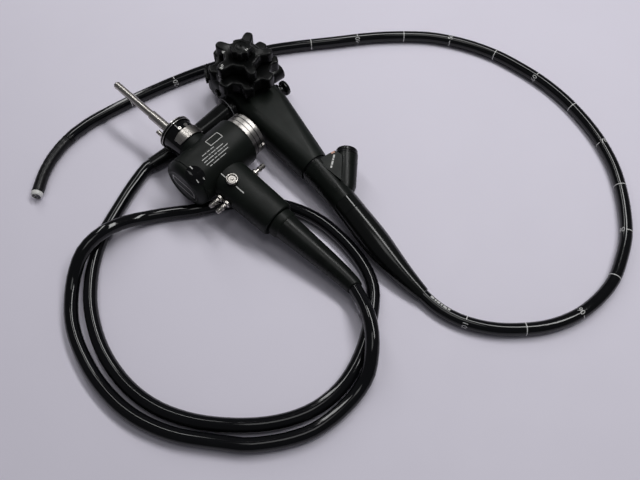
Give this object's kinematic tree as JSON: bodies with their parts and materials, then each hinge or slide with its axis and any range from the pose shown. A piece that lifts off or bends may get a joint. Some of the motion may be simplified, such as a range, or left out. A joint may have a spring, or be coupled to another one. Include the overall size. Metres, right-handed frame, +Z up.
{
  "type": "flexible endoscope",
  "caption": "Flexible video gastroscope: control section with angulation knobs and valves, long insertion tube with a jointed bending tip, and a cord to its supply connector.",
  "frame": {"origin": "on the table under the axis of the angulation knobs, on the flat side cover", "axes": "+X down the grip to the insertion tube, +Y towards the valves and the channel port, +Z up along the knob axis"},
  "size_m": [0.4555, 0.525, 0.0761],
  "materials": {
    "rubber": "matte black",
    "steel": "fine brushed stainless",
    "shell": "fine-grained very dark green-grey",
    "moulding": "satin black",
    "brass": "machined, inside the body",
    "tip": "off-white insulating plastic",
    "glass": "polished",
    "tube": "glossy black jacket"
  },
  "bodies": {
    "endoscope": {"air_nipple": "steel", "air_pipe": "steel", "air_water_cylinder": "steel", "bending_base": "moulding", "bending_cover": "rubber", "biopsy_valve": "rubber", "boot_nut": "shell", "channel_branch": "shell", "channel_port": "steel", "chassis_plate": "steel", "connector_boot": "rubber", "connector_end_cap": "shell", "connector_grip": "shell", "connector_housing": "shell", "connector_nut": "shell", "control_housing": "shell", "cord_boot": "rubber", "cord_collar": "steel", "grip_end_ring": "moulding", "head_cover": "shell", "index_plate": "steel", "insertion_boot": "rubber", "insertion_tube": "tube", "leak_test_port": "steel", "light_guide_rod": "steel", "light_guide_window": "glass", "plug_flange": "steel", "shaft_bush": "brass", "side_cover": "shell", "socket_insert": "moulding", "socket_ring": "steel", "spindle": "steel", "suction_cylinder": "steel", "suction_nipple": "steel", "universal_cord": "tube", "water_nipple": "steel"},
    "ud_knob": {"ud_knob": "moulding", "ud_shaft": "brass"},
    "rl_knob": {"rl_knob": "moulding", "rl_shaft": "brass"},
    "ud_lock_lever": {"ud_lock_lever": "moulding"},
    "rl_lock_knob": {"rl_lock_knob": "moulding"},
    "suction_button": {"suction_button": "moulding"},
    "air_water_button": {"air_water_button": "moulding"},
    "switch_1": {"switch_1": "rubber"},
    "switch_2": {"switch_2": "rubber"},
    "switch_3": {"switch_3": "rubber"},
    "switch_4": {"switch_4": "rubber"},
    "ring_1": {"ring_1": "steel"},
    "ring_2": {"ring_2": "steel"},
    "ring_3": {"ring_3": "steel"},
    "ring_4": {"ring_4": "steel"},
    "ring_5": {"ring_5": "steel"},
    "ring_6": {"ring_6": "steel"},
    "ring_7": {"ring_7": "steel"},
    "ring_8": {"ring_8": "steel"},
    "ring_9": {"ring_9": "steel", "distal_tip": "tip", "objective_lens": "glass"}
  },
  "joints": [
    {"name": "ud_angulation", "type": "hinge", "parent": "endoscope", "child": "ud_knob", "pos_m": [0, 0, 0.0418], "axis": [0, 0, 1], "range_deg": [-61.5, 92.3], "deforming": ["bending_cover"]},
    {"name": "rl_angulation", "type": "hinge", "parent": "endoscope", "child": "rl_knob", "pos_m": [0, 0, 0.0567], "axis": [0, 0, 1], "range_deg": [-51.2, 51.2], "deforming": ["bending_cover"]},
    {"name": "ud_lock", "type": "hinge", "parent": "endoscope", "child": "ud_lock_lever", "pos_m": [0, 0, 0.0388], "axis": [0, 0, 1], "range_deg": [0, 65]},
    {"name": "rl_lock", "type": "hinge", "parent": "endoscope", "child": "rl_lock_knob", "pos_m": [0, 0, 0.0675], "axis": [0, 0, 1], "range_deg": [0, 90]},
    {"name": "suction_valve", "type": "slide", "parent": "endoscope", "child": "suction_button", "axis": [0, -1, 0], "range_m": [0, 0.004], "stiffness_N_per_m": 500, "springref_m": -0.004},
    {"name": "air_water_valve", "type": "slide", "parent": "endoscope", "child": "air_water_button", "axis": [0, -1, 0], "range_m": [0, 0.004], "stiffness_N_per_m": 500, "springref_m": -0.004},
    {"name": "switch_1_press", "type": "slide", "parent": "endoscope", "child": "switch_1", "axis": [0, -1, 0], "range_m": [0, 0.001], "stiffness_N_per_m": 1500, "springref_m": -0.001},
    {"name": "switch_2_press", "type": "slide", "parent": "endoscope", "child": "switch_2", "axis": [1, 0, 0], "range_m": [0, 0.001], "stiffness_N_per_m": 1500, "springref_m": -0.001},
    {"name": "switch_3_press", "type": "slide", "parent": "endoscope", "child": "switch_3", "axis": [1, 0, 0], "range_m": [0, 0.001], "stiffness_N_per_m": 1500, "springref_m": -0.001},
    {"name": "switch_4_press", "type": "slide", "parent": "endoscope", "child": "switch_4", "axis": [0, 1, 0], "range_m": [0, 0.001], "stiffness_N_per_m": 1500, "springref_m": -0.001},
    {"name": "bend_1", "type": "hinge", "parent": "endoscope", "child": "ring_1", "pos_m": [-0.06853, -0.17001, 0.0057], "axis": [0, 0, 1], "range_deg": [-20, 30]},
    {"name": "bend_2", "type": "hinge", "parent": "ring_1", "child": "ring_2", "pos_m": [-0.06638, -0.17561, 0.0057], "axis": [0, 0, 1], "range_deg": [-20, 30]},
    {"name": "bend_3", "type": "hinge", "parent": "ring_2", "child": "ring_3", "pos_m": [-0.06375, -0.181, 0.0057], "axis": [0.8988, 0.4384, 0], "range_deg": [-33.3, 33.3]},
    {"name": "bend_4", "type": "hinge", "parent": "ring_3", "child": "ring_4", "pos_m": [-0.06112, -0.1864, 0.0057], "axis": [0, 0, 1], "range_deg": [-20, 30]},
    {"name": "bend_5", "type": "hinge", "parent": "ring_4", "child": "ring_5", "pos_m": [-0.05803, -0.19154, 0.0057], "axis": [0, 0, 1], "range_deg": [-20, 30]},
    {"name": "bend_6", "type": "hinge", "parent": "ring_5", "child": "ring_6", "pos_m": [-0.0545, -0.19639, 0.0057], "axis": [0.809, 0.5878, 0], "range_deg": [-33.3, 33.3]},
    {"name": "bend_7", "type": "hinge", "parent": "ring_6", "child": "ring_7", "pos_m": [-0.05098, -0.20125, 0.0057], "axis": [0, 0, 1], "range_deg": [-20, 30]},
    {"name": "bend_8", "type": "hinge", "parent": "ring_7", "child": "ring_8", "pos_m": [-0.04704, -0.20578, 0.0057], "axis": [0, 0, 1], "range_deg": [-20, 30]},
    {"name": "bend_9", "type": "hinge", "parent": "ring_8", "child": "ring_9", "pos_m": [-0.04273, -0.20994, 0.0057], "axis": [0.6947, 0.7193, 0], "range_deg": [-33.3, 33.3]}
  ],
  "couplings": [
    {"joint": "bend_1", "follows": "ud_angulation", "ratio": 0.325},
    {"joint": "bend_2", "follows": "ud_angulation", "ratio": 0.325},
    {"joint": "bend_3", "follows": "rl_angulation", "ratio": 0.65},
    {"joint": "bend_4", "follows": "ud_angulation", "ratio": 0.325},
    {"joint": "bend_5", "follows": "ud_angulation", "ratio": 0.325},
    {"joint": "bend_6", "follows": "rl_angulation", "ratio": 0.65},
    {"joint": "bend_7", "follows": "ud_angulation", "ratio": 0.325},
    {"joint": "bend_8", "follows": "ud_angulation", "ratio": 0.325},
    {"joint": "bend_9", "follows": "rl_angulation", "ratio": 0.65}
  ]
}
